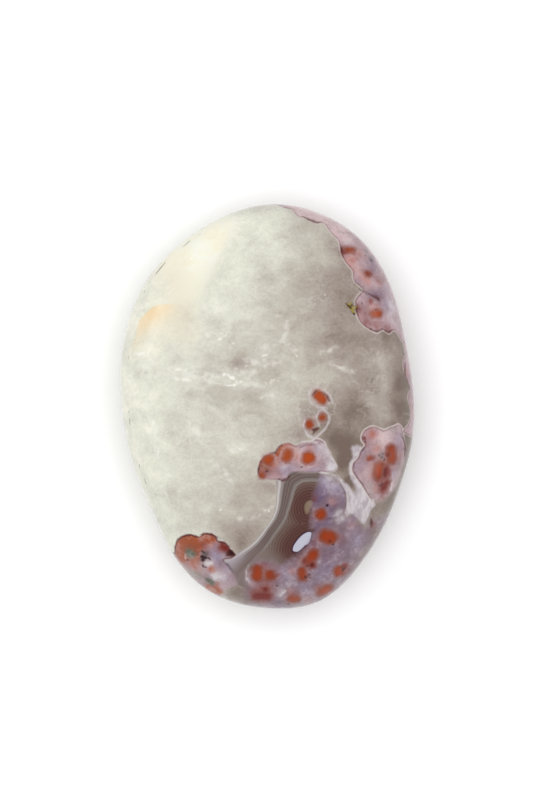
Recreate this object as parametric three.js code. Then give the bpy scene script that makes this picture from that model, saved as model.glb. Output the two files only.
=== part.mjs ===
// Agate palm stone: one polished pebble of banded and eyed agate, lying on its underside.
// The origin is the middle of the flat it rests on, +Y runs along the stone's length and
// +Z points up out of its polished face.
import * as THREE from 'three';

// Driving dimensions, in millimetres
const THICKNESS = 24;
const RIM_HEIGHT = 11.6;
const RIM_WANDER = 0.7;

// The outline seen from above is a smooth closed curve drawn by these radii,
// one every 15 degrees counter-clockwise from +X
const OUTLINE_RADII = [
  27.1, 27.2, 28.6, 32.0, 35.6, 37.2, 37.9, 35.8,
  34.0, 32.3, 29.8, 28.1, 26.6, 26.6, 27.3, 28.7,
  33.3, 36.7, 37.3, 38.2, 33.8, 30.7, 28.3, 27.6,
];

// The cross-section is a superellipse: 2 would be an ellipse, more is flatter with fuller edges
const PLAN_FULLNESS = 2.4;
const HEIGHT_FULLNESS = 2.1;

// The polished underside goes flat this far round from its lowest point, in degrees
const BASE_FLAT_ANGLE = 15;

// Facets round the outline and from crown to base: 5 degrees a ring, so one ring edges the flat
const SIDES = 90;
const RINGS = 36;

const STONE_COLOR = 0xb4a99d;
const STONE_ROUGHNESS = 0.12;

const baseAngle = THREE.MathUtils.degToRad(BASE_FLAT_ANGLE);
const baseReach = Math.sin(baseAngle) ** (2 / PLAN_FULLNESS);
const baseDrop = Math.cos(baseAngle) ** (2 / HEIGHT_FULLNESS);
const crownHeight = THICKNESS - RIM_HEIGHT;
const bellyDepth = RIM_HEIGHT / baseDrop;

// Radius of the outline in one direction: a uniform cubic B-spline through the radii's ring
function outlineRadius(direction) {
  const count = OUTLINE_RADII.length;
  const place = (direction / (2 * Math.PI) + 1) * count;
  const index = Math.floor(place);
  const f = place - index;
  const weights = [
    (1 - f) ** 3,
    3 * f ** 3 - 6 * f ** 2 + 4,
    -3 * f ** 3 + 3 * f ** 2 + 3 * f + 1,
    f ** 3,
  ];
  let radius = 0;
  weights.forEach((weight, k) => {
    radius += (weight / 6) * OUTLINE_RADII[(index - 1 + k) % count];
  });
  return radius;
}

// The widest line round the stone isn't quite level: it rises and falls a little on its way round
function rimWander(direction) {
  return RIM_WANDER * (0.7 * Math.sin(2 * direction + 0.6) + 0.3 * Math.sin(3 * direction - 1.1));
}

// Moves a point of the unit sphere to its place on the stone
function shapePoint(point) {
  const direction = Math.atan2(point.y, point.x);
  const up = THREE.MathUtils.clamp(point.z, -1, 1);
  const reach = Math.sin(Math.acos(up)) ** (2 / PLAN_FULLNESS);
  const rise = Math.abs(up) ** (2 / HEIGHT_FULLNESS);
  const height = up > 0 ? crownHeight * rise : -bellyDepth * Math.min(rise, baseDrop);
  const towardsRim = Math.max(0, (reach - baseReach) / (1 - baseReach)) ** 2;
  const radius = outlineRadius(direction) * reach;
  point.set(
    radius * Math.cos(direction),
    radius * Math.sin(direction),
    RIM_HEIGHT + height + rimWander(direction) * towardsRim,
  );
}

function makeStone() {
  const geometry = new THREE.SphereGeometry(1, SIDES, RINGS);
  geometry.rotateX(Math.PI / 2);
  const positions = geometry.attributes.position;
  const point = new THREE.Vector3();
  for (let i = 0; i < positions.count; i += 1) {
    point.fromBufferAttribute(positions, i);
    shapePoint(point);
    positions.setXYZ(i, point.x, point.y, point.z);
  }
  geometry.computeBoundingBox();
  const centre = geometry.boundingBox.getCenter(new THREE.Vector3());
  geometry.translate(-centre.x, -centre.y, 0);
  geometry.computeVertexNormals();

  const material = new THREE.MeshStandardMaterial({
    color: STONE_COLOR,
    roughness: STONE_ROUGHNESS,
    metalness: 0,
  });
  const stone = new THREE.Mesh(geometry, material);
  stone.name = 'palm_stone';
  return stone;
}

const group = new THREE.Group();
group.add(makeStone());

export default group;
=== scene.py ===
import math
from collections import namedtuple

import bpy
import numpy as np
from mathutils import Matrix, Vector, noise


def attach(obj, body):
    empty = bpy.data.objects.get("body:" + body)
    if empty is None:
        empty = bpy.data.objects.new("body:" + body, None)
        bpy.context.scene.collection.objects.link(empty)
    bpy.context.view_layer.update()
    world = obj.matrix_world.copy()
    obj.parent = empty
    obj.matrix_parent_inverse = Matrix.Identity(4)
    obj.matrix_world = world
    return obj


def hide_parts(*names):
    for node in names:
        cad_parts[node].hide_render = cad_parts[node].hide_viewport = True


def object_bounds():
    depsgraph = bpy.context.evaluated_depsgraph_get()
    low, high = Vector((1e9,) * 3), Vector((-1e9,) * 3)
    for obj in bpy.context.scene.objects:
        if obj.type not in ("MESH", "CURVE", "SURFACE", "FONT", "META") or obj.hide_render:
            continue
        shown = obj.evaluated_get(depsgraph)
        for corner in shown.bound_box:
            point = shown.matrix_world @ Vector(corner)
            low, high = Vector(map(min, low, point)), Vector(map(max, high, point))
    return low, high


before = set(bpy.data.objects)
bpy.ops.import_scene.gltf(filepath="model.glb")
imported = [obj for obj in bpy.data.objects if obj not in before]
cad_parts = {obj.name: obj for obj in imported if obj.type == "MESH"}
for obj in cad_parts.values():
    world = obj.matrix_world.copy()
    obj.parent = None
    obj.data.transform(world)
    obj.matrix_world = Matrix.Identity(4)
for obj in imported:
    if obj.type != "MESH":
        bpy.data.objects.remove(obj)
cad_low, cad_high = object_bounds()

# The stone's shape, in millimetres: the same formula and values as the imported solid
MM = 0.001
RIM_HEIGHT = 11.6
RIM_WANDER = 0.7
OUTLINE_RADII = [
    27.1, 27.2, 28.6, 32.0, 35.6, 37.2, 37.9, 35.8,
    34.0, 32.3, 29.8, 28.1, 26.6, 26.6, 27.3, 28.7,
    33.3, 36.7, 37.3, 38.2, 33.8, 30.7, 28.3, 27.6,
]
PLAN_FULLNESS = 2.4
HEIGHT_FULLNESS = 2.1
BASE_FLAT_ANGLE = 15
BASE_REACH = math.sin(math.radians(BASE_FLAT_ANGLE)) ** (2 / PLAN_FULLNESS)
BASE_DROP = math.cos(math.radians(BASE_FLAT_ANGLE)) ** (2 / HEIGHT_FULLNESS)
THICKNESS = (cad_high.z - cad_low.z) / MM
RIM_STEPS = 3600
MAP_STEPS = 900

# The fine mesh: cells across and along each of its two sheets, drawn closer together towards
# the lower right, where the eyes and bands are
CELLS_ACROSS = 196
CELLS_ALONG = 252
GATHER_RIGHT = 0.22
GATHER_DOWN = 0.24

# How the photograph sees the stone: its scale and the pixel over the stone's middle
PIXELS_PER_MM = 5.4
PIXEL = 1 / PIXELS_PER_MM
MIDDLE_X = 267.3
MIDDLE_Y = 406.4
FRAME_WIDTH = 533
FRAME_HEIGHT = 800
CAMERA_HEIGHT = 0.8
SENSOR_SIZE = 36

# How much light the face gets, and how much of the sky shows in its polish
FACE_LIGHT = 1.2
FACE_GLOSS = 0.012

# Markings, all placed by the photograph's pixels. A place outside the stone's outline there is
# on its side or underside, as far round from the rim as it is from the outline.

# One patch of agate in the quartz: its outline, and how strongly its pale and dark edge lines show
Patch = namedtuple("Patch", "outline pale_line dark_line")

TOP_RIGHT = Patch([
    (262, 204), (275, 205), (284.5, 208.4), (291.6, 210), (294.7, 215), (299.3, 218.6), (304.9, 219),
    (314, 224.7), (323.3, 224.2), (328, 230.8), (333.5, 237), (338, 241), (339.4, 250), (341.6, 259),
    (346, 265.6), (351.8, 272.7), (352.4, 280.6), (357.6, 287), (362, 291), (357.6, 296.4), (354, 301.6),
    (354.2, 311), (357, 320), (363, 327), (370.4, 331.4), (376.6, 333.4), (381.6, 330.8), (388, 334),
    (392.6, 330.6), (397, 334), (403, 343), (418, 336), (446, 330), (452, 300), (442, 276), (430, 258),
    (434, 236), (416, 222), (404, 200), (384, 194), (368, 178), (350, 180), (334, 168), (314, 176),
    (298, 168), (280, 180), (264, 184), (254, 196),
], 0.65, 0.6)
RIGHT_STRIP = Patch([
    (403, 343), (405, 355), (402, 361), (404, 374), (409, 389), (407, 397), (409, 407), (410, 417),
    (407, 425), (403, 432), (420, 438), (436, 424), (432, 396), (440, 366), (424, 345),
], 0.6, 0.5)
RIGHT_MIDDLE = Patch([
    (402.4, 434), (401, 428), (397.4, 424.4), (392.5, 425.8), (388, 427.6), (383, 429.6), (378, 427.6),
    (373, 425.8), (367.6, 427), (362.6, 430.4), (360, 435.6), (360.8, 440.6), (363.6, 445), (359.6, 450),
    (356.4, 457), (352.8, 461), (351, 466), (351.6, 471), (354.6, 476), (359, 482), (363.6, 489),
    (369, 497.5), (375, 503), (384, 502), (391, 494), (396.7, 484), (401, 474), (404.5, 462),
    (405.6, 452), (404.6, 442),
], 0.85, 0.55)
CENTRE = Patch([
    (260, 476.7), (257.2, 470), (258.6, 463), (262.4, 456.5), (268, 453), (274.4, 452), (277, 447),
    (282, 442.8), (289, 441.6), (296, 445), (300.4, 442), (306, 441), (312, 441), (315, 438), (323, 441),
    (325.3, 446), (328.4, 451), (330.4, 457), (335.5, 464.5), (333.5, 469.6), (326.3, 471.6),
    (321, 470.6), (305, 471.6), (290.6, 471.6), (287.5, 477.7), (283.5, 480.6), (278.4, 478.8),
    (268, 479),
], 0.25, 0.45)
BOTTOM_LEFT = Patch([
    (174, 552), (175, 546), (176.6, 540.5), (179, 538), (183, 534.8), (189.9, 532.5), (194.4, 533.6),
    (199.6, 535), (204.8, 531.3), (210, 531.8), (216, 534), (219.4, 539.6), (224.5, 539.6), (229, 544.4),
    (232, 548), (236.4, 553), (231, 557), (224, 558.4), (228.6, 564), (234, 571), (238, 577), (238, 584),
    (228, 588), (222, 596), (206, 612), (180, 604), (160, 580), (158, 562),
], 0.3, 0.9)
PATCHES = [TOP_RIGHT, RIGHT_STRIP, RIGHT_MIDDLE, CENTRE, BOTTOM_LEFT]

# The lilac agate of the lower right, which has no edge lines
LILAC_MASS = [
    (314, 492), (318, 481), (321, 474), (327, 473), (333, 475), (338, 479), (343, 487), (346, 496),
    (346.5, 508), (346, 515), (352, 513), (357, 518), (361, 524), (366, 527), (370, 517), (376, 517),
    (386, 514), (412, 518), (420, 548), (398, 592), (362, 630), (310, 650), (262, 646), (238, 618),
    (243, 596), (245, 586), (245, 576), (248, 566), (256, 559), (268, 559), (280, 563), (290, 557),
    (300, 550), (308, 542), (313, 532), (309, 520), (311, 505),
]

# Invented patches of agate on the hidden underside, each x, y and radius in lobes
UNDER_LOBES = [
    (480, 330, 26), (505, 352, 20), (462, 300, 18), (500, 470, 22), (478, 492, 20), (450, 520, 24),
    (330, 700, 22), (300, 690, 26), (352, 684, 18), (80, 560, 16), (96, 590, 18), (120, 640, 14),
]
# How strongly their pale and dark edge lines show
UNDER_LINES = (0.8, 0.6)

# Milky white agate: the fork between the lilac mass and the patch above it, and loose margins
FORK = [
    (336, 474), (341, 479), (346, 483), (350, 488), (354.4, 492.5), (355.6, 489), (352.6, 483),
    (349.6, 476), (348, 469), (348.6, 462), (352, 457), (350.4, 451), (349.6, 447), (353, 445),
    (358.4, 445.4), (361, 447.6), (358, 453), (356, 458), (352.4, 462), (351.6, 469), (355, 476.6),
    (361, 484), (366, 493), (371, 499), (375, 503), (371, 508), (368, 514), (364, 523), (360.5, 521),
    (355, 515), (350, 512), (345.5, 514.5), (346.4, 505), (346, 495), (342.5, 485),
]
CENTRE_MARGIN = [
    (312, 440.5), (315, 437.5), (323, 440.5), (326, 446), (329, 451), (331, 457), (336, 464.5),
    (334, 469.6), (326.3, 472), (318, 472), (322, 466), (323, 459), (321, 452), (318, 446),
]
MILKY_AREAS = [FORK, CENTRE_MARGIN]

# Where the patches' edges fade out or grow stronger, each x, y, radius and how much
LINE_CLOUDS = [
    (390, 497, 14, -1.5), (404, 470, 12, -1.3), (405, 452, 9, -0.9), (404, 440, 6, -0.5),
    (378, 504, 9, -1.0), (230, 592, 14, -1.4), (238, 578, 11, -1.4), (232, 566, 6, -0.6),
    (262, 478, 9, -0.4), (290, 474, 9, -0.3), (330, 455, 9, 0.5), (306, 440, 7, 0.6), (318, 440, 7, 0.6),
    (366, 292, 6, -0.4), (350, 306, 6, -0.5), (404, 362, 9, -0.2), (407, 400, 9, -0.2),
    (272, 450, 9, -0.3),
]

# Soft clouds of colour in the agate, each x, y, radius and strength, in the order they are laid on
Tint = namedtuple("Tint", "name color clouds")

# Grey agate; its clouds at (374, 507), (383, 509) and (366, 548) by the right rim are painted reflection
# that makes the rim paler
GREY_AND_RIM_REFLECTION = Tint("grey_and_rim_reflection", (164, 154, 147), [
    (394, 428, 5, 0.8), (404, 466, 8, 0.8), (399, 484, 7, 0.9), (388, 499, 9, 0.8), (370, 489, 7, 0.5),
    (374, 507, 8, 0.9), (383, 509, 7, 0.7), (366, 548, 5, 0.5), (196, 573, 9, 0.8), (184, 566, 6, 0.5),
    (388, 270, 9, 0.4), (402, 330, 6, 0.3), (300, 606, 12, 0.6), (358, 578, 8, 0.5), (345, 596, 10, 0.5),
    (328, 603, 9, 0.4), (252, 604, 10, 0.5), (376, 524, 6, 0.3), (440, 300, 20, 0.3), (430, 560, 20, 0.3),
    (350, 640, 24, 0.3), (486, 350, 12, 0.5),
])
BROWN = Tint("brown", (124, 103, 92), [
    (392, 506, 8, 0.3), (374, 532, 7, 0.7), (362, 556, 7, 0.6), (246, 600, 8, 0.6), (248, 562, 5, 0.7),
    (382, 534, 9, 0.8), (371, 548, 8, 0.7), (396, 560, 16, 0.4), (300, 553, 6, 0.5), (356, 568, 6, 0.6),
    (334, 520, 8, 0.3), (288, 562, 5, 0.3),
])
VIOLET = Tint("violet", (118, 98, 122), [
    (320, 489, 7, 0.8), (317, 498, 8, 0.9), (330, 507, 8, 0.6), (328, 518, 7, 0.7), (319, 525, 7, 0.7),
    (343, 491, 3, 0.5), (344, 500, 3, 0.5), (376, 296, 6, 0.8), (369, 297, 4, 0.5), (372, 268, 7, 0.6),
    (371, 259, 5, 0.5), (398, 447, 5, 0.4), (361, 450, 4, 0.4), (313, 543, 6, 0.4), (325, 553, 8, 0.4),
    (338, 550, 8, 0.5), (326, 566, 9, 0.5), (229, 566, 4, 0.7), (222, 560, 4, 0.5), (338, 470, 5, 0.3),
    (300, 548, 6, 0.5), (357, 283, 4, 0.4), (412, 260, 12, 0.3), (340, 630, 18, 0.4), (404, 575, 12, 0.4),
])
LILAC = Tint("lilac", (156, 142, 162), [
    (324, 480, 8, 0.9), (336, 487, 7, 0.8), (338, 500, 6, 0.5), (311, 534, 4, 0.5), (357, 540, 9, 0.7),
    (330, 561, 6, 0.4), (320, 574, 9, 0.6), (304, 588, 9, 0.6), (284, 574, 8, 0.6), (284, 566, 6, 0.3),
    (352, 521, 7, 0.4), (385, 305, 8, 0.7), (384, 290, 6, 0.4), (398, 438, 6, 0.5), (393, 473, 4, 0.6),
    (287, 468, 7, 0.8), (279, 470, 5, 0.5), (311, 470, 9, 0.6), (318, 449, 6, 0.4), (214, 548, 6.5, 1.0),
    (218, 555, 5, 0.9), (219, 563, 6, 0.5), (357, 466, 6, 0.4), (228, 575, 8, 0.4), (268, 583, 4, 0.4),
    (346, 580, 8, 0.3), (420, 380, 14, 0.5), (416, 290, 14, 0.3), (300, 630, 20, 0.4),
    (380, 600, 14, 0.3),
])
BLUSH = Tint("blush", (210, 184, 185), [
    (300, 212, 15, 0.9), (316, 216, 12, 0.9), (330, 225, 12, 1.0), (341, 234, 10, 1.0),
    (346, 242, 6, 0.8), (357, 268, 5, 0.7), (364, 283, 5, 0.5), (379, 436, 7, 0.7), (387, 439, 7, 0.8),
    (379, 445, 6, 0.7), (298, 452, 4, 0.9), (300, 463, 5, 0.4), (318, 456, 6, 0.3), (391, 484, 2.5, 0.7),
    (390, 490, 2.5, 0.6), (365, 472, 7, 0.4), (376, 484, 6, 0.4), (248, 573, 4, 0.5), (252, 583, 4, 0.5),
    (390, 226, 16, 0.5), (260, 194, 16, 0.7),
])
WHITE = Tint("white_cloud", (210, 202, 206), [
    (348, 244, 3.5, 0.7), (392, 305, 6, 0.6), (391, 317, 8, 0.3), (284, 466, 3.5, 0.7),
    (329, 465, 5, 0.8), (324, 455, 6, 0.3), (215, 574, 5, 0.9), (221, 577, 5, 0.7), (228, 571, 4, 0.3),
    (214, 579, 3, 0.5), (209, 562, 4, 0.9), (339, 510, 3.4, 0.8), (340, 517, 4, 0.9), (335, 513, 3, 0.5),
    (284, 589, 5, 0.25), (280, 594, 3.4, 0.5), (285, 590, 2.4, 0.4), (246, 578, 2.6, 0.5),
    (330, 478, 6, 0.5), (327, 451, 5, 0.7), (331, 461, 5, 0.9), (333, 468, 4, 0.8), (320, 446, 4, 0.5),
    (186, 555.5, 2, 0.8), (340, 582, 4, 0.2),
])
PINK = Tint("pink", (192, 140, 134), [
    (350, 259, 7, 0.9), (357, 254, 6, 0.6), (350, 267, 6, 0.8), (357, 274, 5, 0.3), (364, 277, 6, 0.9),
    (368, 283, 4, 0.6), (378, 283, 5, 0.4), (371, 308, 5, 0.7), (360, 316, 6, 0.4), (371, 434, 6, 1.0),
    (376, 449, 5, 0.7), (371, 464, 6, 0.4), (371, 475, 4, 0.7), (387, 446, 4, 0.5), (397, 458, 4, 0.4),
    (376, 488, 5, 0.5), (288, 447, 6.5, 0.9), (293, 454, 5, 0.8), (275, 472, 6, 0.4), (300, 457, 4, 0.7),
    (309, 447, 4, 0.6), (315, 462, 4, 0.4), (308, 466, 4, 0.5), (210, 541, 7, 0.8), (198, 568, 5, 0.5),
    (332, 500, 5, 0.5), (293, 570, 5, 0.5), (276, 562, 5, 0.2), (250, 567, 5, 0.3), (350, 524, 5, 0.3),
    (318, 588, 4, 0.4), (290, 590, 5, 0.4), (308, 599, 6, 0.4), (406, 372, 5, 0.5), (408, 410, 5, 0.5),
    (190, 563, 4, 0.5), (420, 250, 12, 0.5), (424, 400, 10, 0.5), (384, 584, 10, 0.4),
    (486, 330, 14, 0.6), (310, 690, 16, 0.6),
])
ORANGE = Tint("orange", (166, 88, 56), [
    (180, 547, 9, 1.8), (382, 463, 7, 0.8), (270, 575, 6, 0.6), (264, 590, 10, 0.5), (292, 598, 6, 0.6),
    (327, 589, 7, 0.6), (189, 540, 9, 1.6), (181, 557, 6, 1.2), (197, 544, 7, 1.4), (199, 537, 5, 0.9),
    (186, 552, 6, 0.9), (197, 557, 5, 1.0), (194, 564, 5, 0.7), (207, 537, 6, 1.0), (214, 537, 5, 0.9),
    (212, 568, 3.6, 1.0), (208, 586.6, 4, 1.4), (214, 589, 5, 1.8), (220, 591, 4, 1.3),
    (218, 583, 3, 0.6), (267, 459, 8, 1.2), (273, 457, 6, 0.9), (262, 466, 5, 1.0), (262, 474, 4, 1.3),
    (270, 466, 5, 0.6), (286, 453, 7.5, 1.1), (282, 449, 5, 0.8), (371, 433, 3.6, 0.6),
    (376, 310, 4, 0.6), (378, 447, 3, 0.4), (184, 590, 8, 0.8), (378, 470, 8, 0.5), (391, 455, 7, 0.4),
])
RED = Tint("red", (140, 72, 66), [
    (342, 252, 4, 0.9), (350, 252, 6, 0.5), (370, 275, 4, 0.5), (378, 281, 4, 0.5), (370, 303, 4, 0.8),
    (357, 309, 4, 0.8), (364, 316, 6, 0.3), (367, 325, 8, 0.35), (377, 328, 8, 0.5), (387, 331, 6, 0.4),
    (363, 438, 3.6, 0.6), (364, 444, 3, 0.5), (386, 455, 4, 0.6), (387, 474, 5, 0.6), (384, 484, 7, 1.2),
    (382, 494, 6, 0.7), (376, 479, 5, 0.7), (392, 457, 8, 0.7), (386, 470, 6, 0.6), (372, 470, 5, 0.3),
    (264, 471, 6, 0.5), (278, 458, 4.5, 0.6), (224, 545, 6, 1.4), (205, 543, 5, 0.6), (187, 547, 5, 0.3),
    (176, 552, 4, 0.4), (196, 551, 4, 0.5), (302, 560, 6, 0.6), (303, 573, 7, 0.6), (276, 574, 5, 0.7),
    (264, 565, 6, 0.7), (266, 582, 7, 0.5), (320, 537, 6, 0.5), (338, 538, 6, 0.4), (312, 551, 8, 0.5),
    (320, 588, 6, 0.6), (347, 569, 6, 0.6), (294, 594, 6, 0.5), (373, 524, 4, 0.5), (313, 512, 6, 0.5),
    (313, 497, 4, 0.5), (258, 593, 9, 0.5), (327, 402, 4, 0.5), (330, 556, 7, 0.15), (355, 290, 3, 0.5),
    (378, 300, 5, 0.4),
])
SHADOW = Tint("shadow", (78, 52, 54), [
    (381, 456, 4.5, 0.6), (371, 261, 3, 0.4), (376, 299, 4, 0.5), (367, 294, 3, 0.4), (356, 311, 3, 0.6),
    (259, 467, 2.6, 0.8), (230, 551, 5, 1.2), (206, 553, 4.6, 1.0), (203, 559, 3, 0.8),
    (268, 471, 3, 0.4), (370, 521, 3, 0.7), (361, 447, 2.5, 0.4), (383.5, 472, 2.4, 0.5),
    (380, 485, 3, 0.4), (311, 563, 3, 0.4), (313, 430, 3.4, 0.7), (404, 448, 2, 0.4), (312, 586, 2, 0.2),
])
GREEN = Tint("green", (100, 103, 88), [
    (190, 551, 4.6, 1.2), (193, 554, 3.4, 0.8), (208, 579, 3.2, 1.3), (212, 582.5, 3.2, 1.2),
    (197, 574, 6, 0.3), (366, 251, 3, 0.4), (371, 257, 3, 0.4), (266, 465, 3, 0.5),
])
TINTS = [GREY_AND_RIM_REFLECTION, BROWN, VIOLET, LILAC, BLUSH, WHITE, PINK, ORANGE, RED, SHADOW, GREEN]

# Strokes, each a line of x, y and half width, as if drawn with a round brush. First come the eyes'
# orange and deep red cores.
ORANGE_EYES = [
    [(317.4, 395.4, 4.2), (322, 399.4, 4.0)], [(321.7, 417, 2.8)], [(308.6, 424, 4.0)],
    [(268.5, 459, 4.4)], [(262, 474, 2.4)], [(287.6, 453, 3.6), (286, 457.6, 3.2)], [(307.8, 457, 6.0)],
    [(368.6, 457.4, 2.0)], [(390, 449, 4.4), (391.4, 459, 4.2)], [(378, 467, 5.0), (377, 473.6, 5.2)],
    [(345.4, 251.6, 1.8), (352, 250.8, 2.6)], [(367.2, 274.6, 2.8)],
    [(372.6, 314.8, 3.4), (377.6, 314.4, 3.6)], [(320.2, 512.8, 5.0)],
    [(325, 534.8, 6.0), (330, 536, 6.4)], [(313.4, 552.6, 4.4), (308.6, 559.4, 4.2)],
    [(301.8, 569, 3.4), (302.4, 575.6, 3.4)], [(338.6, 570.4, 5.6)],
    [(321.4, 591.6, 4.2), (328, 588, 4.2)], [(291.6, 598, 3.4), (296, 598, 3.6)],
    [(257.2, 568.6, 5.0), (257.2, 575, 5.0)], [(270, 573.6, 5.0)], [(432, 300, 4)], [(428, 270, 3)],
    [(424, 394, 3.4)], [(360, 612, 5)], [(318, 628, 4)], [(286, 622, 5)], [(388, 576, 4)],
    [(404, 552, 3)], [(184, 592, 3)], [(478, 334, 7)], [(500, 352, 5)], [(486, 486, 6)], [(452, 518, 5)],
    [(322, 692, 6)], [(92, 586, 5)],
]
RED_EYES = [
    [(256.4, 595, 5.4), (266.6, 595.4, 5.4)], [(265.4, 588, 3.6)], [(385.6, 468, 2.8), (385, 475, 2.6)],
    [(386.6, 482, 3.2), (383, 487, 3.4)], [(311.6, 563.6, 3.2)], [(223.6, 544.4, 2.6), (227, 547, 2.2)],
    [(372, 458, 1.9)], [(387, 454, 1.8)], [(370, 603, 3)], [(440, 286, 3)], [(492, 340, 4)],
    [(344.6, 566, 3.0)], [(341.6, 253, 2.0)], [(304, 559, 2.0)],
]
# Dark mineral specks, and painted shade in the small pit at the bottom left
SPECKS = [
    [(267, 470, 1.3)], [(301.5, 466, 1.0)], [(298, 450, 0.6)], [(378, 454.6, 0.9)], [(382, 453, 0.8)],
    [(380.4, 457, 0.7)], [(383, 459, 0.9)], [(381, 463, 0.6)], [(378, 484.6, 0.7)], [(381.6, 483, 0.7)],
    [(326.4, 503.8, 1.6)], [(328.2, 517, 1.0)], [(329.3, 539.6, 1.4)], [(332.6, 543, 1.1)],
    [(307, 564.4, 1.1)], [(311.8, 563.4, 1.5)], [(308.8, 573, 1.1)], [(305.3, 575.4, 1.1)],
    [(309.8, 576.2, 0.9)], [(277.4, 584.4, 1.1)], [(288.2, 603.4, 1.2)], [(188.4, 558.8, 1.1)],
    [(203.2, 564.4, 1.0)], [(206.6, 566, 0.8)], [(360.9, 304.8, 1.0)], [(364.8, 256.4, 0.8)],
    [(370.6, 261, 0.8)], [(375, 310.3, 0.9)], [(369.6, 274, 0.8)], [(341, 565.4, 1.0)],
    [(343.6, 567.6, 1.2)], [(342, 570, 0.8)], [(319, 385.6, 0.6)],
    # These darken the small pit's hollow at the bottom left with painted shade
    [(202.6, 549.6, 1.1), (204.6, 551.4, 1.2)], [(202.4, 555.6, 1.5), (206, 556.4, 1.6)],
    [(203.4, 559, 1.5)], [(209, 556.6, 1.0), (211, 558.4, 0.8)], [(203, 564, 1.0), (204.6, 566, 0.7)],
    [(230.4, 549.8, 1.4), (232.4, 552, 1.8)],
]
# Thin dark dashes in the quartz, close inside the left edge
DASHES = [
    [(198, 235.5, 0.5), (201, 235, 0.6)], [(203, 234.8, 0.6)], [(206, 233.5, 0.5)],
    [(191, 241, 0.5), (184, 246.5, 0.6)], [(182, 248.5, 0.4)],
    [(166, 262.5, 0.5), (161, 268.5, 0.8), (156, 274.5, 0.7)], [(151, 281, 0.4), (149, 284, 0.4)],
    [(146, 290, 0.4), (144, 294, 0.3)], [(130, 409, 0.3), (130, 413, 0.4)],
    [(130.4, 419, 0.6), (130.8, 424, 0.6)], [(132.5, 449, 0.5)], [(140, 464.5, 0.6), (140.6, 467, 0.5)],
    [(145, 478, 0.5), (146.5, 483, 0.4)], [(141, 471, 0.4)], [(129, 355, 0.3), (129.5, 361, 0.3)],
]
# Dark red-brown strokes
RUST_STROKES = [
    [(283, 207.4, 0.3), (291, 209.4, 0.5)], [(302, 217.4, 0.5), (309, 220.4, 0.8), (316, 223.4, 0.8)],
    [(316, 223.4, 0.8), (322, 223, 0.5)], [(340.4, 248, 0.5), (341, 253, 0.9), (342, 259, 0.4)],
    [(278.8, 478.2, 0.8), (283, 479.4, 1.2), (287.4, 477.8, 0.8)],
    [(287.4, 477.8, 0.6), (289.4, 474.6, 0.4)],
    [(259.6, 473, 0.4), (258.8, 469, 0.8), (260, 464, 0.7), (262.6, 458.6, 0.4)],
    [(269, 453, 0.3), (274.8, 452, 0.7), (277.6, 447.6, 0.5), (282, 443.6, 0.3)],
    [(312, 429.6, 0.9), (314.6, 429.6, 1.6), (318, 427.6, 0.8)], [(312.4, 433.4, 0.8), (313.6, 431, 1.0)],
    [(321, 392, 0.4), (326, 396, 0.7), (328.6, 401, 0.8)], [(312, 395, 0.5), (315.6, 390.8, 0.7)],
    [(358, 290.6, 0.4), (365, 293.6, 0.6), (371, 296.6, 0.9), (378, 300.6, 1.3)],
    [(356.6, 305, 0.5), (355, 311, 0.9), (357, 316, 0.4)],
    [(369, 330, 0.4), (376, 332, 0.7), (380.6, 330, 0.4)],
    [(384, 331.6, 0.5), (388, 333, 0.6), (391.4, 330.6, 0.4)], [(363, 437, 0.5), (364.4, 442, 0.6)],
    [(383.4, 469, 0.8), (383.6, 475, 0.6)], [(379, 485.6, 0.5), (383, 482.6, 0.5)],
    [(228, 553, 1.4), (231, 551, 3.0), (235, 553, 1.4)],
    [(178, 539, 0.7), (183, 535.6, 0.9), (190, 533.4, 0.7)], [(190, 533.4, 0.7), (198, 535, 0.8)],
    [(201, 533.6, 0.6), (205, 532, 0.8), (212, 533, 0.9), (217.6, 536, 0.8)],
    [(219.4, 540.4, 0.8), (225, 540.8, 0.8), (229, 545, 0.8)],
    [(175.5, 553, 0.5), (175.8, 546, 0.6), (177.4, 541, 0.5)],
    [(370.4, 518, 0.9), (370.8, 522, 1.6), (370.6, 525.6, 0.9)],
    [(404.5, 362, 0.5), (404, 374, 0.7), (409, 389, 0.7)],
    [(399, 433.4, 0.3), (403.4, 441, 0.5), (404.6, 449, 0.7), (403.6, 456, 0.5)],
]
# Dark violet hairlines beside the pale ones
VIOLET_LINES = [
    [(223, 558.4, 0.5), (227.6, 562.4, 0.8), (231, 567, 0.7), (234.4, 572, 0.4)],
    [(339.6, 482.6, 0.3), (343.4, 490, 0.5), (345, 498, 0.5), (344.6, 507, 0.4)],
    [(353.2, 462, 0.4), (352.4, 469, 0.5), (356, 476, 0.4), (362, 484.6, 0.4), (367.6, 493.6, 0.4)],
    [(357.4, 457, 0.4), (359.6, 451, 0.5), (363, 446.4, 0.4)],
    [(278, 461, 0.3), (290, 463, 0.5), (297, 461, 0.4)],
    [(299, 447, 0.4), (305, 444, 0.5), (313, 444, 0.4), (318, 447.6, 0.3)],
]
# Moss where the top right patch meets the quartz
MOSS_STROKES = [
    [(345.4, 304.6, 1.0), (347.6, 307, 1.6), (351, 307, 1.6)], [(349.6, 309.4, 1.4), (353, 313.6, 1.7)],
    [(350, 303.8, 0.9)], [(354, 308.4, 1.0), (356.6, 306.6, 0.5)], [(341, 316, 0.4)], [(344, 311.6, 0.5)],
    [(352.8, 315.6, 0.8)],
]
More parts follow.
